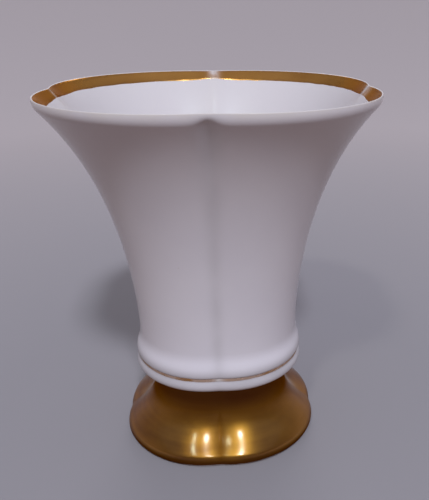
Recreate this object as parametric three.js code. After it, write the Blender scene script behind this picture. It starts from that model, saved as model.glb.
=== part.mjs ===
// Small footed vase in glazed and gilded porcelain.
// A trumpet body on a hollow flared foot, both pressed into four lobes with a crease between each pair.
// Millimetres, +Z up. The origin is the middle of the footprint on the table.
// The creases lie on the X and Y axes, and the lobes bulge along the diagonals.
import * as THREE from 'three';

// Every radius is half the width of the vase measured square across its lobes, along X or Y.

// Foot
const footHeight = 21.5;
const footNeckRadius = 19.4;
const footRollCentreRadius = 27.5;
const footRollRadius = 1.5;
const footRollTopRadius = 2.8;
const footStandWidth = 1.8;
const footWall = 2.4;
const footNeckDrop = 10.6;
const footFlareReach = 8.8;
const footHollowDrop = 9.0;
const footHollowReach = 7.4;

// Slip that sticks the body to the foot
const slipThickness = 0.6;
const slipInset = 0.3;

// Body, its heights measured from its own flat underside
const bodyHeight = 81.0;
const beadRadius = 24.9;
const beadRounding = 1.9;
const lineHeight = 4.05;
const rollRadius = 24.7;
const rollEase = 1.0;
const rollSwell = 2.4;
const waistRadius = 23.4;
const waistHeight = 11.9;
const waistDrop = 3.4;
const flareRise = 3.0;
const flareReach = 31.0;
const rimRadius = 44.0;
const wallAtWaist = 2.5;
const lipFace = 2.2;
const lipRounding = 0.8;
const floorThickness = 3.6;
const coveRadius = 6.0;

// Gold, drawn at a thickness that can be made as a solid
const goldThickness = 0.25;
const goldClearance = 0.1;
const lineWidth = 0.9;
const lineDepth = 0.3;
const bandWidth = 3.8;
const bandWidthAtCrease = 3.0;
const footGoldTuck = 0.9;

// Angles
const flareAngle = THREE.MathUtils.degToRad(39.5);
const footShoulderAngle = THREE.MathUtils.degToRad(45);
const beadTopAngle = THREE.MathUtils.degToRad(50);

// How far the middle of a lobe's arc stands off the axis, as a share of the arc's own radius
const creaseAtFootShare = 0.13;
const creaseAtFlareShare = 0.28;
const creaseAtNeckShare = 0.15;
const creaseAtBeadShare = 0.14;
const creaseAtRimShare = 0.23;
const flareHeightShare = 0.3;
const stemHeightShare = 0.8;
const crestShare = 0.55;
const creaseSharpness = 6;

// How finely the forms are divided
const lobeCount = 4;
const stepsPerLobe = 12;
const footSteps = 9;
const footRollSteps = 3;
const hollowSteps = 7;
const beadSteps = 6;
const rollEaseSteps = 2;
const rollSteps = 5;
const flareSteps = 14;
const lipSteps = 2;
const coveSteps = 4;
const crestSteps = 2;
const bandSteps = 3;

const bodyBase = footHeight + slipThickness;

const porcelain = new THREE.MeshStandardMaterial({ color: 0xe3dfe6, roughness: 0.18, metalness: 0 });
const bareClay = new THREE.MeshStandardMaterial({ color: 0xd9d2c6, roughness: 0.85, metalness: 0 });
const gold = new THREE.MeshStandardMaterial({ color: 0xa8762c, roughness: 0.25, metalness: 1 });

// Points of a round edge, from one angle to another about its centre
function arc(centreRadius, centreHeight, radius, from, to, steps) {
  const curve = new THREE.EllipseCurve(centreRadius, centreHeight, radius, radius, from, to, to < from);
  return curve.getPoints(steps);
}

// The four arcs of the plan meet in creases: this is the radius in one direction, as a share of the
// width across the lobes, found where a ray from the axis leaves the arc of its lobe
function lobeShare(angle, creaseShare) {
  const quarter = (2 * Math.PI) / lobeCount;
  const fromLobe = (angle % quarter) - quarter / 2;
  const standOff = creaseShare / Math.cos(quarter / 2);
  const across = standOff * Math.sin(fromLobe);
  return (standOff * Math.cos(fromLobe) + Math.sqrt(1 - across * across)) / (1 + creaseShare);
}

// A turned profile pressed into lobes. The lathe gives the faces, then each of its columns takes
// the profile of its own direction, with every radius drawn in or out by the plan at that height.
function lobedLathe(profileAt, creaseShareAt) {
  const columns = lobeCount * stepsPerLobe;
  const rows = profileAt(0).length;
  const geometry = new THREE.LatheGeometry(profileAt(0), columns);
  const position = geometry.getAttribute('position');
  for (let column = 0; column <= columns; column += 1) {
    const angle = ((column % columns) * 2 * Math.PI) / columns;
    const profile = profileAt(angle);
    for (let row = 0; row < rows; row += 1) {
      const { x: radius, y: height } = profile[row];
      const reach = radius * lobeShare(angle, creaseShareAt(height));
      position.setXYZ(column * rows + row, reach * Math.sin(angle), height, reach * Math.cos(angle));
    }
  }
  geometry.rotateX(Math.PI / 2);
  geometry.computeVertexNormals();
  return geometry;
}

// A point beside a curve, to the left of its direction of travel
function beside(curve, along, distance) {
  const tangent = curve.getTangentAt(along);
  return curve.getPointAt(along).add(new THREE.Vector2(-tangent.y, tangent.x).multiplyScalar(distance));
}

// Foot: a hollow stem that sweeps out to a rolled edge and stands on a narrow bare ring
const rollTopCentreRadius = footRollCentreRadius + footRollRadius - footRollTopRadius;
const shoulder = new THREE.Vector2(
  rollTopCentreRadius + footRollTopRadius * Math.sin(footShoulderAngle),
  footRollRadius + footRollTopRadius * Math.cos(footShoulderAngle),
);
const footSweep = new THREE.CubicBezierCurve(
  shoulder,
  new THREE.Vector2(
    shoulder.x - footFlareReach * Math.cos(footShoulderAngle),
    shoulder.y + footFlareReach * Math.sin(footShoulderAngle),
  ),
  new THREE.Vector2(footNeckRadius, footHeight - footNeckDrop),
  new THREE.Vector2(footNeckRadius, footHeight),
);
const standInner = footRollCentreRadius - footStandWidth;
const footHollow = new THREE.CubicBezierCurve(
  new THREE.Vector2(footNeckRadius - footWall, footHeight),
  new THREE.Vector2(footNeckRadius - footWall, footHeight - footHollowDrop),
  new THREE.Vector2(
    standInner - footHollowReach * Math.sin(footShoulderAngle),
    footHollowReach * Math.cos(footShoulderAngle),
  ),
  new THREE.Vector2(standInner, 0),
);

// The creases are deepest just over the rolled edge and fade out up the stem
function footCreaseShareAt(height) {
  const flareHeight = footHeight * flareHeightShare;
  const stemHeight = footHeight * stemHeightShare;
  if (height < flareHeight) {
    const rise = THREE.MathUtils.smoothstep(height, 0, flareHeight);
    return THREE.MathUtils.lerp(creaseAtFootShare, creaseAtFlareShare, rise);
  }
  const rise = THREE.MathUtils.smoothstep(height, flareHeight, stemHeight);
  return THREE.MathUtils.lerp(creaseAtFlareShare, creaseAtNeckShare, rise);
}

// The rolled edge, so far off the porcelain: tight below its widest point and rounder above it
function footRoll(bottomAngle, off) {
  const topAngle = Math.PI / 2 - footShoulderAngle;
  return [
    ...arc(footRollCentreRadius, footRollRadius, footRollRadius + off, bottomAngle, 0, footRollSteps),
    ...arc(rollTopCentreRadius, footRollRadius, footRollTopRadius + off, 0, topAngle, footRollSteps).slice(1),
  ];
}

function footProfile() {
  const roll = footRoll(-Math.PI / 2, 0);
  const hollow = footHollow.getSpacedPoints(hollowSteps);
  return [...roll, ...footSweep.getSpacedPoints(footSteps).slice(1), ...hollow, roll[0]];
}

// Slip: the thin ring of liquid clay between the foot's seat and the body's underside
function slipProfile() {
  const outer = footNeckRadius - slipInset;
  const inner = footNeckRadius - footWall + slipInset;
  return [
    new THREE.Vector2(inner, footHeight),
    new THREE.Vector2(outer, footHeight),
    new THREE.Vector2(outer, bodyBase),
    new THREE.Vector2(inner, bodyBase),
    new THREE.Vector2(inner, footHeight),
  ];
}

// Body: flat underside, round bead, channel with the gold line, swelling roll, waist and trumpet.
// The lip ends in an upright face with both its corners eased.
const channelRadius = beadRadius - beadRounding + beadRounding * Math.cos(beadTopAngle);
const waist = new THREE.Vector2(waistRadius, bodyBase + waistHeight);
const upFlare = new THREE.Vector2(Math.sin(flareAngle), Math.cos(flareAngle));
const lipHigh = new THREE.Vector2(rimRadius, bodyBase + bodyHeight);
const lipLow = new THREE.Vector2(rimRadius, lipHigh.y - lipFace);
const flareEnd = lipLow.clone().addScaledVector(upFlare, -lipRounding);
const flare = new THREE.CubicBezierCurve(
  waist,
  new THREE.Vector2(waist.x, waist.y + flareRise),
  flareEnd.clone().addScaledVector(upFlare, -flareReach),
  flareEnd,
);
const lipEdge = new THREE.QuadraticBezierCurve(
  flareEnd,
  lipLow,
  new THREE.Vector2(lipLow.x, lipLow.y + lipRounding),
);
const lipCrest = new THREE.QuadraticBezierCurve(
  new THREE.Vector2(lipHigh.x, lipHigh.y - lipRounding),
  lipHigh,
  lipHigh.clone().addScaledVector(upFlare, -lipRounding),
);
const wallAtLip = lipFace * Math.sin(flareAngle);
const lipRun = lipFace * Math.cos(flareAngle);

function bodyCreaseShareAt(height) {
  const rise = THREE.MathUtils.clamp((height - bodyBase) / bodyHeight, 0, 1);
  return THREE.MathUtils.lerp(creaseAtBeadShare, creaseAtRimShare, rise);
}

function wallAt(along) {
  return THREE.MathUtils.lerp(wallAtWaist, wallAtLip, along);
}

// A point on the inside of the trumpet, so far down from the crest of the lip and so far off the wall.
// Next to the lip the wall runs straight, and below that it keeps its thickness from the outer curve.
function insideTrumpet(down, off) {
  const straight = Math.max(lipRun - down, 0);
  const along = Math.min(1 - (down - lipRun) / flare.getLength(), 1);
  return beside(flare, along, wallAt(along) + off).addScaledVector(upFlare, straight);
}

function bodyProfile() {
  const lineLow = bodyBase + lineHeight - lineWidth / 2 - goldClearance;
  const lineHigh = lineLow + lineWidth + 2 * goldClearance;
  const floor = bodyBase + floorThickness;
  const bead = arc(
    beadRadius - beadRounding, bodyBase + beadRounding, beadRounding, -Math.PI / 2, beadTopAngle, beadSteps,
  );
  const groove = [
    new THREE.Vector2(channelRadius, lineLow),
    new THREE.Vector2(channelRadius - lineDepth - goldClearance, lineLow),
    new THREE.Vector2(channelRadius - lineDepth - goldClearance, lineHigh),
  ];
  const rollFoot = new THREE.QuadraticBezierCurve(
    new THREE.Vector2(channelRadius, lineHigh),
    new THREE.Vector2(rollRadius, lineHigh),
    new THREE.Vector2(rollRadius, lineHigh + rollEase),
  );
  const roll = new THREE.CubicBezierCurve(
    rollFoot.v2,
    new THREE.Vector2(rollRadius, lineHigh + rollEase + rollSwell),
    new THREE.Vector2(waist.x, waist.y - waistDrop),
    waist,
  );
  const inside = [];
  for (let step = 0; step <= flareSteps; step += 1) {
    inside.push(insideTrumpet(lipRun + (flare.getLength() * step) / flareSteps, 0));
  }
  const insideRadius = waistRadius - wallAtWaist;
  const cove = arc(insideRadius - coveRadius, floor + coveRadius, coveRadius, 0, -Math.PI / 2, coveSteps);
  return [
    new THREE.Vector2(0, bodyBase),
    ...bead,
    ...groove,
    ...rollFoot.getPoints(rollEaseSteps),
    ...roll.getPoints(rollSteps).slice(1),
    ...flare.getSpacedPoints(flareSteps).slice(1),
    ...lipEdge.getPoints(lipSteps).slice(1),
    ...lipCrest.getPoints(lipSteps),
    ...inside,
    ...cove,
    new THREE.Vector2(0, floor),
  ];
}

// Gold line: a narrow ring laid in the channel over the bead
function lineProfile() {
  const outer = channelRadius;
  const inner = channelRadius - lineDepth;
  const low = bodyBase + lineHeight - lineWidth / 2;
  return [
    new THREE.Vector2(inner, low),
    new THREE.Vector2(outer, low),
    new THREE.Vector2(outer, low + lineWidth),
    new THREE.Vector2(inner, low + lineWidth),
    new THREE.Vector2(inner, low),
  ];
}

// Gold band: a skin from the crest of the lip down the inside, drawn narrower where the brush
// crosses a crease
function bandProfile(angle) {
  const nearCrease = Math.cos((angle * lobeCount) / 2) ** (2 * creaseSharpness);
  const width = THREE.MathUtils.lerp(bandWidth, bandWidthAtCrease, nearCrease);
  const skin = (clearance) => {
    const points = [];
    for (let step = 0; step < crestSteps; step += 1) {
      const along = THREE.MathUtils.lerp(crestShare, 1, step / crestSteps);
      points.push(beside(lipCrest, along, -clearance));
    }
    for (let step = 0; step <= bandSteps; step += 1) {
      points.push(insideTrumpet((width * step) / bandSteps, clearance));
    }
    return points;
  };
  const under = skin(goldClearance);
  const face = skin(goldClearance + goldThickness);
  return [...face, ...under.reverse(), face[0]];
}

// Foot gold: a skin over the whole sweep and the rolled edge, stopping short of the bare ring
function footGoldProfile() {
  const bottomAngle = -footGoldTuck / footRollRadius;
  const skin = (clearance) => [
    ...footRoll(bottomAngle, clearance),
    ...Array.from({ length: footSteps }, (_, step) => beside(footSweep, (step + 1) / footSteps, -clearance)),
  ];
  const under = skin(goldClearance);
  const face = skin(goldClearance + goldThickness);
  return [...face, ...under.reverse(), face[0]];
}

function piece(name, profileAt, creaseShareAt, material) {
  const mesh = new THREE.Mesh(lobedLathe(profileAt, creaseShareAt), material);
  mesh.name = name;
  return mesh;
}

const vase = new THREE.Group();
vase.add(
  piece('foot', footProfile, footCreaseShareAt, porcelain),
  piece('luting_slip', slipProfile, () => creaseAtNeckShare, bareClay),
  piece('body', bodyProfile, bodyCreaseShareAt, porcelain),
  piece('rim_gilding', bandProfile, bodyCreaseShareAt, gold),
  piece('base_line_gilding', lineProfile, bodyCreaseShareAt, gold),
  piece('foot_gilding', footGoldProfile, footCreaseShareAt, gold),
);

export default vase;
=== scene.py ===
"""Small footed vase in glazed and gilded porcelain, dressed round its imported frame.

Every skin of the vase is one profile carried round the axis and pressed into four lobes. Lengths
are millimetres unless said otherwise, and each finished mesh is in metres, in the frame's place.
"""
import math

import bpy
import numpy as np
from mathutils import Matrix, Vector


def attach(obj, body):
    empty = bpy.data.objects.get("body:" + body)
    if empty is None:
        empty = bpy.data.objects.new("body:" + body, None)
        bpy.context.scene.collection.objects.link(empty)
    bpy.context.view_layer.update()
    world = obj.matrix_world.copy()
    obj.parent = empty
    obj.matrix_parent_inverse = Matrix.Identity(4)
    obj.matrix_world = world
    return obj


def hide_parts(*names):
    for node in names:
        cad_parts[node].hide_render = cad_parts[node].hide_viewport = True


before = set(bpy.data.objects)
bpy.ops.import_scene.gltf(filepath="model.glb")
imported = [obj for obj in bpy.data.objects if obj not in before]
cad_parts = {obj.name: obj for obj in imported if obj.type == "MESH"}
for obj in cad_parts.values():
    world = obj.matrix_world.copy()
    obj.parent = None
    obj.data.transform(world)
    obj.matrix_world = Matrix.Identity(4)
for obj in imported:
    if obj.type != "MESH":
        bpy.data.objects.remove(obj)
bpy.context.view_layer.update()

MM = 0.001

# Foot
FOOT_HEIGHT = 21.5
FOOT_NECK = 19.4
FOOT_ROLL_CENTRE = 27.5
FOOT_ROLL = 1.5
FOOT_ROLL_TOP = 2.8
FOOT_STAND = 1.8
FOOT_WALL = 2.4
FOOT_SHOULDER = math.radians(43.5)
FOOT_REACH = 8.8
FOOT_NECK_DROP = 10.6
HOLLOW_DROP = 9.0
HOLLOW_REACH = 7.4

# Slip between foot and body
SLIP = 0.6
SLIP_INSET = 0.3
SLIP_HOLLOW = 0.25
BASE = FOOT_HEIGHT + SLIP

# Body, its heights counted from its underside
BODY_HEIGHT = 81.0
BEAD = 24.9
BEAD_ROUND = 1.9
BEAD_TOP = math.radians(50)
BEAD_EASE = 0.12
LINE_HEIGHT = 4.05
LINE_BELOW = 0.5
LINE_ABOVE = 0.55
SHELF_OUT = 0.02
SHELF_DROP = 0.12
ROLL = 24.7
ROLL_EASE = 1.0
ROLL_SWELL = 2.4
WAIST = 23.4
WAIST_HEIGHT = 11.9
WAIST_DROP = 3.4
FLARE_RISE = 3.0
FLARE_REACH = 31.0
FLARE_ANGLE = math.radians(39.5)
RIM = 44.0
LIP_FACE = 2.2
LIP_ROUND = 0.8
LIP_UNDER = 1.3
LIP_NOTCH = 1.0
NOTCH_RUN = 20
WALL = 2.5
FLOOR = 3.6
COVE = 6.0
AXIS_GAP = 0.6
UNDERSIDE_GAP = 0.05

# Gold
BAND = 3.8
BAND_AT_CREASE = 3.0
LINE_WIDTH = 1.0
FOOT_GOLD_START = math.radians(32)
GOLD_LIFT = 0.07
GOLD_SINK = 0.02
GOLD_EDGE = 1.2
GOLD_FEATHER = 0.4
RIM_FEATHER = 0.7
LINE_FEATHER = 0.22

# Creases: how far the middle of a lobe's arc stands off the axis along X and along Y, as a share of
# the arc's radius
CREASE_FOOT = 0.13
CREASE_FLARE = 0.28
CREASE_NECK = 0.15
CREASE_BEAD = 0.14
CREASE_RIM = 0.23

# The shares of the foot's height at which its creases are deepest, and as deep as at the neck
FLARE_SHARE = 0.3
STEM_SHARE = 0.8

# The widths over which the creases are rounded at their bottom
FOOT_SOFTNESS = 0.6
BODY_SOFTNESS = 0.8

# Widths in radians of the bell curves round a crease
NOTCH_BELL = 0.05
RIDGE_BELL = 0.05
VALLEY_BELL = 0.07
BAND_BELL = 0.12
LINE_BELL = 0.06
RIM_BELL = 0.04
RIM_BELL_MORE = 0.025
FOOT_BELL = 0.055
FOOT_SIDE_BELL = 0.08

# The width of the bell curve of height of the painted shade round the bead
BEAD_SHADE_SPREAD = 2.8

# The heights between which a mark fades. For the lip they are distances from its crest.
BARE_RING = (0.15, 0.55)
# The painted shade on the foot's gold fades in up the stem and out over the roll
SHADE_UP_STEM = (7.5, 17)
SHADE_ON_ROLL = (1.4, 3.4)
PALE_SIDES = (4, 12)
THIN_LIP = (0.3, 2.5)

COLUMNS = 360
ANGLES = np.arange(COLUMNS) * 2 * math.pi / COLUMNS


def line(start, end, rows):
    """Points at equal steps on the straight line between two points."""
    share = np.linspace(0, 1, rows)[:, None]
    return (1 - share) * np.array(start) + share * np.array(end)


def bend(start, corner, end, rows):
    """A quadratic Bezier curve: it leaves its start towards the corner and arrives from there."""
    t = np.linspace(0, 1, rows)[:, None]
    ends = (1 - t) ** 2 * np.array(start) + 2 * t * (1 - t) * np.array(corner)
    return ends + t**2 * np.array(end)


def sweep(start, lead, trail, end, rows):
    """A cubic Bezier curve, its points then set at equal distances along it."""
    t = np.linspace(0, 1, 600)[:, None]
    fine = (1 - t) ** 3 * np.array(start) + 3 * t * (1 - t) ** 2 * np.array(lead)
    fine = fine + 3 * t**2 * (1 - t) * np.array(trail) + t**3 * np.array(end)
    return spaced(fine, rows)


def arc(centre, radius, first, last, rows):
    """Points on a circle about a centre, from the first angle to the last, in radians."""
    angle = np.linspace(first, last, rows)
    return np.array(centre) + radius * np.stack([np.cos(angle), np.sin(angle)], 1)


def lengths(points):
    """The distance travelled along a row of points, at each of them."""
    steps = np.linalg.norm(np.diff(points, axis=0), axis=1)
    return np.concatenate([[0], np.cumsum(steps)])


def spaced(points, rows):
    """The same path with its points at equal distances."""
    travelled = lengths(points)
    even = np.linspace(0, travelled[-1], rows)
    return np.stack([np.interp(even, travelled, points[:, k]) for k in (0, 1)], 1)


def joined(*paths):
    """Paths end to end. Where one starts on the last point of another, that point is kept once."""
    points = np.concatenate(paths)
    apart = np.linalg.norm(np.diff(points, axis=0), axis=1) > 1e-4
    return points[np.concatenate([[True], apart])]


def left_of(points):
    """The unit normal at each point of a path, to the left of its direction of travel."""
    tangent = np.gradient(points, axis=0)
    tangent = tangent / np.linalg.norm(tangent, axis=1, keepdims=True)
    return np.stack([-tangent[:, 1], tangent[:, 0]], 1)


def smooth(value, low, high):
    """0 below low, 1 above high, and 3 s squared less 2 s cubed between them."""
    s = np.clip((value - low) / (high - low), 0, 1)
    return s * s * (3 - 2 * s)


def foot_crease(height):
    """The crease share of the foot. It rises along a smooth step to its deepest over the rolled
    edge, and falls along another to its value at the neck."""
    flare, stem = FLARE_SHARE * FOOT_HEIGHT, STEM_SHARE * FOOT_HEIGHT
    low = CREASE_FOOT + (CREASE_FLARE - CREASE_FOOT) * smooth(height, 0, flare)
    return low + (CREASE_NECK - CREASE_FLARE) * smooth(height, flare, stem)


def body_crease(height):
    """The crease share of the body, rising in proportion to height from its base to the rim."""
    rise = np.clip((height - BASE) / BODY_HEIGHT, 0, 1)
    return CREASE_BEAD + (CREASE_RIM - CREASE_BEAD) * rise


def to_crease(angle):
    """The angle to the nearest crease. The creases lie on the X and Y axes."""
    quarter = math.pi / 2
    return np.abs((angle + quarter / 2) % quarter - quarter / 2)


def plan_share(angle, crease, radius, softness):
    """The plan: four arcs that meet in creases. In one direction it is the distance at which a ray
    from the axis leaves the arc of its lobe, over half the width across the lobes. The angle to
    the crease is first rounded at its bottom: it becomes the root of its square plus the square of
    the softness, which is a width in millimetres, taken as an angle at that radius."""
    away = np.sqrt(to_crease(angle) ** 2 + (softness / np.maximum(radius, 1)) ** 2)
    from_lobe = math.pi / 4 - away
    stand_off = crease * math.sqrt(2)
    across = stand_off * np.sin(from_lobe)
    return (stand_off * np.cos(from_lobe) + np.sqrt(1 - across**2)) / (1 + crease)


def near_crease(angle, width):
    """1 on a crease, falling to 0 as a bell curve of that width in radians."""
    return np.exp(-((to_crease(angle) / width) ** 2))


def brush_wobble(seed, size, waves):
    """The unsteady line of a brush: sines of whole numbers of waves round the axis, in seeded
    phases, each smaller as its waves get shorter. It strays by the size at most."""
    random = np.random.default_rng(seed)
    count = np.arange(2, waves)
    phase = random.uniform(0, 2 * math.pi, len(count))
    strength = random.normal(0, 1, len(count)) / np.sqrt(count)
    total = (strength[:, None] * np.sin(count[:, None] * ANGLES + phase[:, None])).sum(0)
    return size * total / np.abs(total).max()


def pressed(profiles, crease_at, softness):
    """A profile carried round the axis. It is one row of (radius, height) points for all
    directions, or one row for each. Each radius is multiplied by the plan's share at that height
    and angle."""
    if profiles.ndim == 2:
        profiles = np.repeat(profiles[:, None, :], COLUMNS, 1)
    radius, height = profiles[..., 0], profiles[..., 1]
    reach = radius * plan_share(ANGLES[None, :], crease_at(height), radius, softness)
    return np.stack([reach * np.sin(ANGLES), -reach * np.cos(ANGLES), height], -1)


def shape(name, points, faces):
    """A smooth object from points in millimetres and arrays of faces, one array for each number of
    corners."""
    loops = np.concatenate([face.ravel() for face in faces])
    sides = np.concatenate([np.full(len(face), face.shape[1]) for face in faces])
    mesh = bpy.data.meshes.new(name)
    mesh.vertices.add(len(points))
    mesh.vertices.foreach_set("co", (points * MM).astype(np.float32).ravel())
    mesh.loops.add(len(loops))
    mesh.loops.foreach_set("vertex_index", loops.astype(np.int32))
    mesh.polygons.add(len(sides))
    mesh.polygons.foreach_set("loop_start", (np.cumsum(sides) - sides).astype(np.int32))
    mesh.polygons.foreach_set("use_smooth", np.ones(len(sides), bool))
    mesh.update(calc_edges=True)
    mesh.validate()
    made = bpy.data.objects.new(name, mesh)
    bpy.context.scene.collection.objects.link(made)
    return made


def skin(name, grid, closes, marks):
    """An object from a grid of points: rows along the profile, columns round the axis. Each cell is
    one face, wound so that it looks away from the solid. A profile that closes joins its last row
    to its first, and an open one gets a point on the axis at each end, with a fan of faces to it.
    Marks are values from 0 to 1 at each point, for the finish to read."""
    rows, columns = grid.shape[:2]
    points = grid.reshape(-1, 3)
    index = np.arange(rows * columns).reshape(rows, columns)
    beside = np.roll(index, -1, axis=1)
    above, above_beside = np.roll(index, -1, axis=0), np.roll(beside, -1, axis=0)
    cells = np.stack([index, beside, above_beside, above], -1)
    if closes:
        faces = [cells.reshape(-1, 4)]
    else:
        low, high = len(points), len(points) + 1
        poles = np.array([[0, 0, grid[0, 0, 2]], [0, 0, grid[-1, 0, 2]]])
        points = np.concatenate([points, poles])
        faces = [
            cells[:-1].reshape(-1, 4),
            np.stack([np.full(columns, low), beside[0], index[0]], -1),
            np.stack([np.full(columns, high), index[-1], beside[-1]], -1),
        ]
    piece = shape(name, points, faces)
    for mark, value in marks.items():
        full = np.zeros(len(points), np.float32)
        full[: rows * columns] = np.broadcast_to(value, (rows, columns)).ravel()
        piece.data.attributes.new(mark, "FLOAT", "POINT").data.foreach_set("value", full)
    return piece


def gold_skin(name, path, crease_at, softness, feather, marks):
    """A skin of gold on the outside of a path, which runs with the porcelain on its left and has
    one row for each direction. It reaches out to GOLD_LIFT off the glaze, and back twice GOLD_SINK
    under it. Over the feather at both edges it dips under the glaze along a smooth step, and ends
    half of GOLD_SINK thick. The edge mark falls from 1 to 0 over GOLD_EDGE."""
    normal = np.stack([left_of(path[:, k]) for k in range(path.shape[1])], 1)
    steps = np.linalg.norm(np.diff(path, axis=0), axis=2)
    travelled = np.concatenate([np.zeros((1, path.shape[1])), np.cumsum(steps, axis=0)])
    inward = np.minimum(travelled, travelled[-1] - travelled)
    thin = smooth(inward, 0, feather)
    over = path - normal * (GOLD_LIFT * thin - GOLD_SINK * (1 - thin))[..., None]
    under = path + normal * GOLD_SINK * (1.5 + 0.5 * thin)[..., None]
    profiles = np.concatenate([over, under[::-1]])
    marks = {"edge": 1 - np.clip(inward / GOLD_EDGE, 0, 1), **marks}
    marks = {mark: np.concatenate([value, value[::-1]]) for mark, value in marks.items()}
    return skin(name, pressed(profiles, crease_at, softness), True, marks)


# The foot's outside runs up from its standing ring, over the roll and up the sweep. The roll is
# tight below its widest point and rounder above it.
roll_centre = (FOOT_ROLL_CENTRE, FOOT_ROLL)
roll_top_centre = (FOOT_ROLL_CENTRE + FOOT_ROLL - FOOT_ROLL_TOP, FOOT_ROLL)
roll_top = arc(roll_top_centre, FOOT_ROLL_TOP, 0, math.pi / 2 - FOOT_SHOULDER, 18)
shoulder = roll_top[-1]
up_sweep = np.array([-math.cos(FOOT_SHOULDER), math.sin(FOOT_SHOULDER)])
stand_inner = FOOT_ROLL_CENTRE - FOOT_STAND
foot_sweep = sweep(
    shoulder,
    shoulder + FOOT_REACH * up_sweep,
    (FOOT_NECK, FOOT_HEIGHT - FOOT_NECK_DROP),
    (FOOT_NECK, FOOT_HEIGHT),
    60,
)
foot_hollow = sweep(
    (FOOT_NECK - FOOT_WALL, FOOT_HEIGHT),
    (FOOT_NECK - FOOT_WALL, FOOT_HEIGHT - HOLLOW_DROP),
    (stand_inner - HOLLOW_REACH * math.sin(FOOT_SHOULDER), HOLLOW_REACH * math.cos(FOOT_SHOULDER)),
    (stand_inner, 0),
    60,
)


def make_foot():
    """The foot's porcelain: roll, sweep, flat seat for the body, and the hollow back down. Its
    standing ring is marked bare."""
    roll = arc(roll_centre, FOOT_ROLL, -math.pi / 2, 0, 16)
    seat = line(foot_sweep[-1], foot_hollow[0], 6)
    ring = line(foot_hollow[-1], roll[0], 8)
    profile = joined(roll, roll_top, foot_sweep, seat, foot_hollow, ring)[:-1]
    marks = {"bare": (1 - smooth(profile[:, 1], *BARE_RING))[:, None]}
    return skin("foot_porcelain", pressed(profile, foot_crease, FOOT_SOFTNESS), True, marks)


def make_foot_gold():
    """Gold over the whole outside of the foot, its lower edge a wavering brush line on the roll.
    It is painted dark, as painted shade and painted dark reflection, up the stem, on the rolled
    edge and in the creases at front and back, and turns pale and grey along the creases at the
    sides."""
    first = -FOOT_GOLD_START + brush_wobble(seed=11, size=0.12, waves=40)
    turn = np.linspace(1, 0, 10)[:, None] * first
    roll = np.array(roll_centre) + FOOT_ROLL * np.stack([np.cos(turn), np.sin(turn)], -1)
    above = np.concatenate([roll_top[1:], foot_sweep[1:]])
    path = np.concatenate([roll, np.repeat(above[:, None, :], COLUMNS, 1)])
    height = path[..., 1]
    # Painted shade and painted dark reflection: up the stem, on the roll, and in the creases at
    # front and back
    up_stem = smooth(height, *SHADE_UP_STEM)
    on_roll = 0.95 * (1 - smooth(height, *SHADE_ON_ROLL))
    crease_shade = 0.6 * near_crease(ANGLES, FOOT_BELL) * np.cos(ANGLES) ** 2
    at_side = near_crease(ANGLES, FOOT_SIDE_BELL) * np.sin(ANGLES) ** 2
    marks = {
        "painted_shade": np.maximum(np.maximum(up_stem, on_roll), crease_shade),
        "ridge": at_side * smooth(height, *PALE_SIDES),
    }
    return gold_skin("foot_gold", path, foot_crease, FOOT_SOFTNESS, GOLD_FEATHER, marks)


def make_slip():
    """The ring of slip between foot and body: flat above and below, its sides a little hollow."""
    outer, inner = FOOT_NECK - SLIP_INSET, FOOT_NECK - FOOT_WALL + SLIP_INSET
    middle = FOOT_HEIGHT + SLIP / 2
    profile = joined(
        bend((outer, FOOT_HEIGHT), (outer - SLIP_HOLLOW, middle), (outer, BASE), 7),
        bend((inner, BASE), (inner + SLIP_HOLLOW, middle), (inner, FOOT_HEIGHT), 7),
    )
    return skin("slip_ring", pressed(profile, lambda height: CREASE_NECK, FOOT_SOFTNESS), True, {})


# The body's outside runs up from its underside, and the flare ends under the lip
channel = BEAD - BEAD_ROUND + BEAD_ROUND * math.cos(BEAD_TOP)
waist = np.array([WAIST, BASE + WAIST_HEIGHT])
up_flare = np.array([math.sin(FLARE_ANGLE), math.cos(FLARE_ANGLE)])
off_flare = np.array([-math.cos(FLARE_ANGLE), math.sin(FLARE_ANGLE)])
lip_high = np.array([RIM, BASE + BODY_HEIGHT])
lip_low = lip_high - [0, LIP_FACE]
flare_end = lip_low - LIP_UNDER * up_flare
flare = sweep(waist, waist + [0, FLARE_RISE], flare_end - FLARE_REACH * up_flare, flare_end, 64)
lip_crest = bend(lip_high - [0, LIP_ROUND], lip_high, lip_high - LIP_ROUND * up_flare, 12)
crest_middle = 6
wall_at_lip = LIP_FACE * math.sin(FLARE_ANGLE)
wall = np.linspace(WALL, wall_at_lip, len(flare))
inside_up = flare + left_of(flare) * wall[:, None]
inside_up[-1] = flare_end + off_flare * wall_at_lip
inside_down = joined(line(lip_crest[-1], inside_up[-1], 8), inside_up[::-1])


def outside_of_body():
    """The body's outside: flat underside, bead, channel, roll, waist and trumpet, to the lip."""
    line_level = BASE + LINE_HEIGHT
    bead_centre = (BEAD - BEAD_ROUND, BASE + BEAD_ROUND)
    bead = arc(bead_centre, BEAD_ROUND, -math.pi / 2, BEAD_TOP - BEAD_EASE, 22)
    low = np.array([channel, line_level - LINE_BELOW])
    high = np.array([channel, line_level + LINE_ABOVE])
    shelf = bend(bead[-1], (channel + SHELF_OUT, low[1] - SHELF_DROP), low, 8)
    under_roll = bend(high, (ROLL, high[1]), (ROLL, high[1] + ROLL_EASE), 12)
    roll_start = under_roll[-1]
    roll = sweep(roll_start, roll_start + [0, ROLL_SWELL], waist - [0, WAIST_DROP], waist, 24)
    lip_edge = bend(flare_end, lip_low, lip_low + [0, LIP_UNDER], 14)
    return joined(
        line((AXIS_GAP, BASE), bead[0] - [UNDERSIDE_GAP, 0], 8),
        bead,
        shelf,
        line(low, high, 8),
        under_roll,
        roll,
        flare,
        lip_edge,
        line(lip_edge[-1], lip_crest[0], 4),
    )


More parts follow.
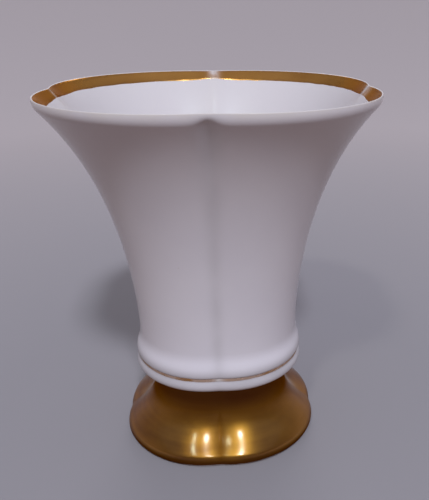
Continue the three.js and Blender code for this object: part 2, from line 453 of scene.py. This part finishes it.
def inside_of_body():
    """The body's inside: over the crest of the lip, down the wall, round the cove to the floor."""
    floor = BASE + FLOOR
    cove = arc((WAIST - WALL - COVE, floor + COVE), COVE, 0, -math.pi / 2, 20)
    return joined(
        lip_crest[1:],
        inside_down,
        line(inside_down[-1], cove[0], 5),
        cove,
        line(cove[-1], (AXIS_GAP, floor), 8),
    )


def make_body():
    """The body. Under the lip each crease is pressed deeper from outside, so the flare there runs
    up higher, and the face of the lip above it is squeezed in proportion. The marks are the lip,
    the creases inside (ridge) and outside (valley, which carries painted shade), the painted shade
    round the bead as a bell curve of height, and the inside."""
    outside, inside = outside_of_body(), inside_of_body()
    notch = LIP_NOTCH * near_crease(ANGLES, NOTCH_BELL)
    height = outside[:, 1:]
    raised = height + notch * smooth(height, flare_end[1] - NOTCH_RUN, flare_end[1])
    face = lip_crest[0, 1] - flare_end[1]
    squeezed = lip_crest[0, 1] - (lip_crest[0, 1] - height) * (1 - notch / face)
    profile = np.concatenate([outside, inside])
    profiles = np.repeat(profile[:, None], COLUMNS, 1)
    profiles[: len(outside), :, 1] = np.where(height > flare_end[1], squeezed, raised)
    to_lip = np.linalg.norm(profile - lip_crest[crest_middle], axis=1)[:, None]
    within = np.arange(len(profile))[:, None] >= len(outside)
    level = profile[:, 1:]
    from_channel = (level - (BASE + LINE_HEIGHT) + LINE_BELOW) / BEAD_SHADE_SPREAD
    marks = {
        "lip": 1 - smooth(to_lip, *THIN_LIP),
        "ridge": near_crease(ANGLES, RIDGE_BELL) * within * (level > BASE + FLOOR + COVE),
        # Painted shade in the creases outside
        "valley": near_crease(ANGLES, VALLEY_BELL) * ~within * smooth(level, BASE, BASE + 2),
        # Painted shade round the bead, a bell curve of height
        "bead_shade": np.exp(-(from_channel**2)) * ~within,
        "within": within,
    }
    return skin("body_porcelain", pressed(profiles, body_crease, BODY_SOFTNESS), False, marks)


def make_rim_gold():
    """The band inside the lip, from its crest down. The brush drew it narrower over each crease. It
    turns pale and grey there, most on the right."""
    narrowing = (BAND_AT_CREASE - BAND) * near_crease(ANGLES, BAND_BELL)
    width = BAND + narrowing + brush_wobble(seed=5, size=0.16, waves=60)
    crest = lip_crest[crest_middle + 1 :]
    route = joined(crest, inside_down)
    travelled = lengths(route)
    down = np.linspace(0, 1, 26)[:, None] * (lengths(crest)[-1] + width)
    path = np.stack([np.interp(down, travelled, route[:, k]) for k in (0, 1)], -1)
    paling = near_crease(ANGLES, RIM_BELL + RIM_BELL_MORE * np.sin(ANGLES))
    marks = {"ridge": np.broadcast_to(paling, path.shape[:2])}
    return gold_skin("rim_gold", path, body_crease, BODY_SOFTNESS, RIM_FEATHER, marks)


def make_line_gold():
    """The fine line in the channel, a brush's width, wandering by a hair. It is half rubbed all
    round, and quite rubbed on each crease."""
    middle = BASE + LINE_HEIGHT + brush_wobble(seed=3, size=0.07, waves=50)
    half = LINE_WIDTH / 2 + brush_wobble(seed=8, size=0.07, waves=90)
    height = middle + np.linspace(-1, 1, 12)[:, None] * half
    path = np.stack([np.full_like(height, channel), height], -1)
    paling = 0.5 + 0.5 * near_crease(ANGLES, LINE_BELL)
    marks = {"ridge": np.broadcast_to(paling, path.shape[:2])}
    return gold_skin("base_line_gold", path, body_crease, BODY_SOFTNESS, LINE_FEATHER, marks)


class Finish:
    """A material with one Principled shader, and short ways to add the nodes that feed it."""

    def __init__(self, name):
        self.material = bpy.data.materials.new(name)
        self.material.use_nodes = True
        self.tree = self.material.node_tree
        self.shader = self.tree.nodes["Principled BSDF"]
        self.place = self.tree.nodes.new("ShaderNodeTexCoord").outputs["Object"]

    def put(self, value, socket):
        """Links another node's output to a socket, or sets the socket to a constant."""
        if isinstance(value, bpy.types.NodeSocket):
            self.tree.links.new(value, socket)
        else:
            socket.default_value = value

    def node(self, kind, settings=None, **values):
        """A node with its settings, and with values for its sockets by name."""
        made = self.tree.nodes.new(kind)
        for key, value in (settings or {}).items():
            setattr(made, key, value)
        for key, value in values.items():
            self.put(value, made.inputs[key.replace("_", " ")])
        return made

    def noise(self, scale, detail, stretch=(1, 1, 1)):
        """Cloudy noise on the piece's own coordinates, in features a metre, stretched by axis."""
        placed = self.node("ShaderNodeMapping", Vector=self.place, Scale=stretch).outputs["Vector"]
        made = self.node("ShaderNodeTexNoise", Vector=placed, Scale=scale, Detail=detail)
        return made.outputs["Fac"]

    def mark(self, name):
        """A value that the mesh carries at each point."""
        return self.node("ShaderNodeAttribute", {"attribute_name": name}).outputs["Fac"]

    def between(self, value, low, high, new_low=0.0, new_high=1.0):
        """A value carried from one range to another, and held there."""
        made = self.node("ShaderNodeMapRange", {"clamp": True}, Value=value)
        ends = {"From Min": low, "From Max": high, "To Min": new_low, "To Max": new_high}
        for key, number in ends.items():
            made.inputs[key].default_value = number
        return made.outputs["Result"]

    def maths(self, operation, first, second):
        """One operation on two values."""
        made = self.node("ShaderNodeMath", {"operation": operation})
        self.put(first, made.inputs[0])
        self.put(second, made.inputs[1])
        return made.outputs["Value"]

    def times(self, first, second):
        return self.maths("MULTIPLY", first, second)

    def plus(self, first, second):
        return self.maths("ADD", first, second)

    def larger(self, first, second):
        return self.maths("MAXIMUM", first, second)

    def blend(self, share, first, second):
        """One colour turning into another as the share goes from 0 to 1."""
        made = self.node("ShaderNodeMix", {"data_type": "RGBA"})
        self.put(share, made.inputs["Factor"])
        for socket, value in ((made.inputs[6], first), (made.inputs[7], second)):
            self.put((*value, 1) if isinstance(value, tuple) else value, socket)
        return made.outputs[2]

    def bump(self, *layers):
        """Heights laid over one another, each a value and its depth in metres."""
        normal = None
        for value, depth in layers:
            made = self.node("ShaderNodeBump", Height=value, Distance=depth, Strength=1.0)
            if normal is not None:
                self.put(normal, made.inputs["Normal"])
            normal = made.outputs["Normal"]
        return normal

    def feed(self, **values):
        """Sets or links the shader's own sockets by name."""
        for key, value in values.items():
            self.put(value, self.shader.inputs[key.replace("_", " ")])


GLAZE_IOR = 1.52
GLAZE_CLOUDS = (0.73, 0.71, 0.81), (0.765, 0.745, 0.84)
GLAZE_WITHIN = (0.685, 0.655, 0.70)
GLAZE_THIN = (0.72, 0.675, 0.67)
# Painted shade: the glaze greyer in the creases outside
GLAZE_CREASE_SHADE = (0.53, 0.515, 0.57)
# Painted shade round the bead and the bottom of the roll
GLAZE_BEAD_SHADE = (0.45, 0.435, 0.485)
KILN_SPECK = (0.56, 0.51, 0.48)
HOLLOW_CLOUDS = (0.69, 0.665, 0.72), (0.73, 0.705, 0.76)
RING_CLAY = (0.60, 0.56, 0.50), (0.70, 0.66, 0.60)
SLIP_CLAY = (0.58, 0.53, 0.46), (0.72, 0.67, 0.60)
GOLD_THIN = (0.24, 0.10, 0.035)
# Painted shade and painted dark reflection on the foot's gold
GOLD_PAINTED_SHADE = (0.12, 0.032, 0.010)
GOLD_PALE_GREY = (0.62, 0.58, 0.60)
GOLD_GLANCE = (0.66, 0.42, 0.18, 1)


def white_glaze():
    """Hard porcelain under clear glaze: a cool white with faint clouds, warmer where the glaze runs
    thin on the lip and ridges, painted greyer as shade in the creases outside and darker still as
    painted shade round the bead, with a few kiln specks and the soft waviness of a poured glaze.
    Inside, it is warmer and more satin."""
    finish = Finish("white_glaze")
    clouds = finish.between(finish.noise(38, 3), 0.35, 0.65)
    white = finish.blend(clouds, *GLAZE_CLOUDS)
    white = finish.blend(finish.mark("within"), white, GLAZE_WITHIN)
    thin = finish.larger(finish.mark("lip"), finish.times(finish.mark("ridge"), 0.5))
    thin = finish.times(thin, finish.between(finish.noise(120, 2), 0.3, 0.7, 0.2, 0.7))
    white = finish.blend(thin, white, GLAZE_THIN)
    uneven = finish.noise(90, 2)
    # Painted shade, greyer in the creases outside
    crease_shade = finish.times(finish.mark("valley"), finish.between(uneven, 0.3, 0.7, 0.25, 0.5))
    # Painted shade round the bead
    shade_at_bead = finish.times(finish.mark("bead_shade"), finish.between(uneven, 0.3, 0.7, 0.7, 0.95))
    white = finish.blend(crease_shade, white, GLAZE_CREASE_SHADE)
    white = finish.blend(shade_at_bead, white, GLAZE_BEAD_SHADE)
    specks = finish.node("ShaderNodeTexVoronoi", Vector=finish.place, Scale=330.0).outputs
    chance = finish.node("ShaderNodeSeparateColor", Color=specks["Color"]).outputs["Red"]
    spot = finish.between(specks["Distance"], 0.035, 0.06, 1, 0)
    spot = finish.times(spot, finish.maths("GREATER_THAN", chance, 0.965))
    white = finish.blend(spot, white, KILN_SPECK)
    wet = finish.between(finish.noise(75, 4), 0.3, 0.7, 0.10, 0.19)
    finish.feed(
        Base_Color=white,
        Roughness=finish.plus(wet, finish.times(finish.mark("within"), 0.22)),
        Normal=finish.bump((finish.noise(30, 2), 0.00012), (finish.noise(640, 2), 0.000006)),
        IOR=GLAZE_IOR,
    )
    return finish.material


def foot_glaze():
    """The same porcelain inside the hollow foot, bare and matt on the ring that it stands on."""
    finish = Finish("foot_glaze")
    clouds = finish.between(finish.noise(38, 3), 0.35, 0.65)
    grain = finish.noise(1600, 4)
    clay = finish.blend(finish.between(grain, 0.35, 0.7), *RING_CLAY)
    bare = finish.mark("bare")
    wet = finish.between(finish.noise(75, 4), 0.3, 0.7, 0.12, 0.24)
    finish.feed(
        Base_Color=finish.blend(bare, finish.blend(clouds, *HOLLOW_CLOUDS), clay),
        Roughness=finish.larger(wet, finish.times(bare, 0.85)),
        Normal=finish.bump((finish.noise(42, 2), 0.0002), (finish.times(grain, bare), 0.00005)),
        IOR=GLAZE_IOR,
    )
    return finish.material


def bare_slip():
    """Fired slip without glaze: matt, slightly warm, with a fine grain."""
    finish = Finish("bare_slip")
    grain = finish.noise(1500, 4)
    finish.feed(
        Base_Color=finish.blend(finish.between(grain, 0.3, 0.7), *SLIP_CLAY),
        Roughness=finish.between(grain, 0.3, 0.7, 0.75, 0.9),
        Normal=finish.bump((grain, 0.00006)),
    )
    return finish.material


def burnished_gold(name, deep, bright, streaks, paling, dull, coat, paints_shade):
    """Fired gold: clouds from a deep tone to a bright one, brushed round the vase in fine streaks,
    browner and duller where it is thin at its edges, and turning to a pale grey non-metal where its
    ridge mark is set. A clear coat gives its bright spots their white middle. Where the painted
    shade mark is set, the gold is painted dark and made dull, without the coat: painted shade and
    painted dark reflection."""
    finish = Finish(name)
    clouds = finish.between(finish.noise(60, 4), 0.3, 0.7)
    brush = finish.noise(60, 3, (0.35, 0.35, streaks))
    brightest = tuple(1.25 * part for part in bright)
    tone = finish.blend(clouds, deep, bright)
    tone = finish.blend(finish.between(brush, 0.35, 0.7, 0, 0.4), tone, brightest)
    thin = finish.times(finish.mark("edge"), finish.between(finish.noise(400, 3), 0.3, 0.75))
    tone = finish.blend(finish.times(thin, 0.6), tone, GOLD_THIN)
    scuffs = finish.between(finish.noise(150, 5), 0.35, 0.75, dull - 0.03, dull + 0.03)
    # Painted shade and painted dark reflection: dark and dull, without the coat
    if paints_shade:
        painted_shade = finish.times(finish.mark("painted_shade"), finish.between(clouds, 0, 1, 0.75, 0.95))
        tone = finish.blend(painted_shade, tone, GOLD_PAINTED_SHADE)
        scuffs = finish.plus(scuffs, finish.times(painted_shade, 0.25))
        coat = finish.between(painted_shade, 0, 0.5, coat, 0)
    paled = finish.times(finish.mark("ridge"), finish.between(finish.noise(210, 4), 0.25, 0.5))
    paled = finish.times(paled, paling)
    waves, dents = (finish.noise(42, 2), 0.00022), (finish.noise(170, 2), 0.00005)
    finish.feed(
        Base_Color=finish.blend(paled, tone, GOLD_PALE_GREY),
        Metallic=finish.between(paled, 0, 1, 1, 0),
        Specular_Tint=GOLD_GLANCE,
        Roughness=finish.plus(scuffs, finish.times(thin, 0.16)),
        Normal=finish.bump(waves, dents, (brush, 0.000012)),
        Coat_Weight=coat,
        Coat_Roughness=0.14,
    )
    return finish.material


glaze = white_glaze()
foot_gold_finish = burnished_gold(
    "foot_gold_finish",
    deep=(0.21, 0.076, 0.005),
    bright=(0.44, 0.203, 0.022),
    streaks=9.0,
    paling=0.7,
    dull=0.33,
    coat=0.85,
    paints_shade=True,
)
rim_gold_finish = burnished_gold(
    "rim_gold_finish",
    deep=(0.52, 0.225, 0.040),
    bright=(0.70, 0.34, 0.080),
    streaks=6.0,
    paling=1.0,
    dull=0.22,
    coat=0.3,
    paints_shade=False,
)

for piece, node, slot, material in (
    (make_body(), "body", "glazed_porcelain", glaze),
    (make_foot(), "foot", "glazed_porcelain", foot_glaze()),
    (make_slip(), "luting_slip", "bare_porcelain", bare_slip()),
    (make_rim_gold(), "rim_gilding", "gilding", rim_gold_finish),
    (make_line_gold(), "base_line_gilding", "gilding", rim_gold_finish),
    (make_foot_gold(), "foot_gilding", "gilding", foot_gold_finish),
):
    piece.data.materials.append(material)
    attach(piece, "root")
    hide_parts(node)


# The table: its flat radius, the curve up to the wall, and the wall's top
TABLE_FLAT = 450
TABLE_CURVE = 350
WALL_TOP = 600
TABLE_NEAR = (0.295, 0.286, 0.322)
TABLE_FAR = (0.48, 0.44, 0.475)
TABLE_CLOUDS = (0.5, 0.46, 0.45)
TABLE_BOUNCE = (0.25, 0.19, 0.165)


def make_floor():
    """A pale table that turns up into a wall all round: a disc, a quarter of a circle and a wall,
    carried round the axis. Its paint is darker near the vase and lighter towards the wall, a
    painted shade. The light that it throws back on the vase comes from TABLE_BOUNCE, a warmer and
    darker paint. It casts no shadow, so the lamp behind reaches the vase through the wall, and it
    still takes the shadow of the vase."""
    wall_radius = TABLE_FLAT + TABLE_CURVE
    profile = joined(
        line((2, 0), (TABLE_FLAT, 0), 30),
        arc((TABLE_FLAT, TABLE_CURVE), TABLE_CURVE, -math.pi / 2, 0, 40),
        line((wall_radius, TABLE_CURVE), (wall_radius, WALL_TOP), 6),
    )[::-1]
    radius, height = profile[:, :1], np.repeat(profile[:, 1:], COLUMNS, 1)
    grid = np.stack([radius * np.sin(ANGLES), -radius * np.cos(ANGLES), height], -1)
    index = np.arange(height.size).reshape(height.shape)
    beside = np.roll(index, -1, axis=1)
    cells = np.stack([index[:-1], beside[:-1], beside[1:], index[1:]], -1).reshape(-1, 4)
    fan = np.stack([np.full(COLUMNS, index.size), index[-1], beside[-1]], -1)
    points = np.concatenate([grid.reshape(-1, 3), [[0, 0, 0]]])
    floor = shape("table_sweep", points, [cells, fan])
    finish = Finish("pale_table")
    away = finish.node("ShaderNodeVectorMath", {"operation": "LENGTH"})
    finish.put(finish.place, away.inputs[0])
    # Painted shade: darker near the vase, lighter towards the wall
    paint = finish.blend(finish.between(away.outputs["Value"], 0.08, 0.5), TABLE_NEAR, TABLE_FAR)
    faint = finish.between(finish.noise(3, 2), 0.3, 0.7, 0, 0.03)
    paint = finish.blend(faint, paint, TABLE_CLOUDS)
    seen = finish.node("ShaderNodeLightPath").outputs
    shown = finish.larger(seen["Is Camera Ray"], seen["Is Glossy Ray"])
    shown = finish.larger(shown, seen["Is Transmission Ray"])
    paint = finish.blend(shown, TABLE_BOUNCE, paint)
    finish.feed(Base_Color=paint, Roughness=0.9, Specular_IOR_Level=0.1)
    floor.data.materials.append(finish.material)
    floor.visible_shadow = False


make_floor()


# Metres from the lamps to the point that they face, and the height of that point
LAMP_DISTANCE = 3
LAMP_AIM = 0.05


def lamp(name, azimuth, elevation, width, watts, colour, mirrored=True):
    """A square soft lamp that faces the vase. The azimuth counts from the front to the right, in
    degrees, and the width is in metres. A lamp that isn't mirrored lights the vase without being
    seen in its gold or its glaze."""
    a, e = math.radians(azimuth), math.radians(elevation)
    away = Vector((math.sin(a) * math.cos(e), -math.cos(a) * math.cos(e), math.sin(e)))
    light = bpy.data.lights.new(name, "AREA")
    light.shape = "SQUARE"
    light.size = width
    light.energy = watts
    light.color = colour
    made = bpy.data.objects.new(name, light)
    made.location = away * LAMP_DISTANCE + Vector((0, 0, LAMP_AIM))
    made.rotation_euler = away.to_track_quat("Z", "Y").to_euler()
    made.visible_glossy = mirrored
    bpy.context.scene.collection.objects.link(made)


# Two small lamps make the bright spots on the gold, and the fills light the vase
lamp("lamp_right", 5, 50, 0.2, 11, (0.82, 0.96, 1))
lamp("lamp_left", -20, 51, 0.16, 3.4, (0.83, 0.95, 0.72))
lamp("fill_right", 9, 50, 0.34, 45, (0.94, 0.94, 1), mirrored=False)
lamp("fill_left", -22, 51, 0.26, 8, (1, 0.91, 0.85), mirrored=False)
lamp("fill_behind", 176, 26, 1.6, 26, (1, 0.98, 0.98))


def make_room():
    """The world: dim at the horizon and brighter overhead."""
    world = bpy.data.worlds.new("room")
    world.use_nodes = True
    nodes, links = world.node_tree.nodes, world.node_tree.links
    height = nodes.new("ShaderNodeSeparateXYZ")
    links.new(nodes.new("ShaderNodeTexCoord").outputs["Generated"], height.inputs["Vector"])
    ramp = nodes.new("ShaderNodeValToRGB")
    low, high = ramp.color_ramp.elements
    low.position, low.color = 0.15, (0.10, 0.10, 0.125, 1)
    high.position, high.color = 1.0, (0.39, 0.395, 0.46, 1)
    links.new(height.outputs["Z"], ramp.inputs["Fac"])
    links.new(ramp.outputs["Color"], nodes["Background"].inputs["Color"])
    bpy.context.scene.world = world


make_room()

# The camera stands a little right of the front crease and looks down at the vase. Its place is in
# millimetres, and its turn, tilt and lean are in degrees.
CAMERA_PLACE = (3.81, -171.68, 123.63)
CAMERA_TURN = -3.567
CAMERA_TILT = 21.698
CAMERA_LEAN = -0.055

camera = bpy.data.objects.new("camera", bpy.data.cameras.new("camera"))
bpy.context.scene.collection.objects.link(camera)
camera.data.sensor_fit = "AUTO"
camera.data.sensor_width = 36
camera.data.lens = 44.678
camera.data.shift_x = -0.101
camera.data.clip_start = 0.01
turned = Matrix.Rotation(math.radians(CAMERA_TURN), 4, "Z")
turned = turned @ Matrix.Rotation(math.radians(90 - CAMERA_TILT), 4, "X")
turned = turned @ Matrix.Rotation(math.radians(CAMERA_LEAN), 4, "Z")
camera.matrix_world = Matrix.Translation(Vector(CAMERA_PLACE) * MM) @ turned
bpy.context.scene.camera = camera
bpy.context.scene.view_settings.view_transform = "Standard"
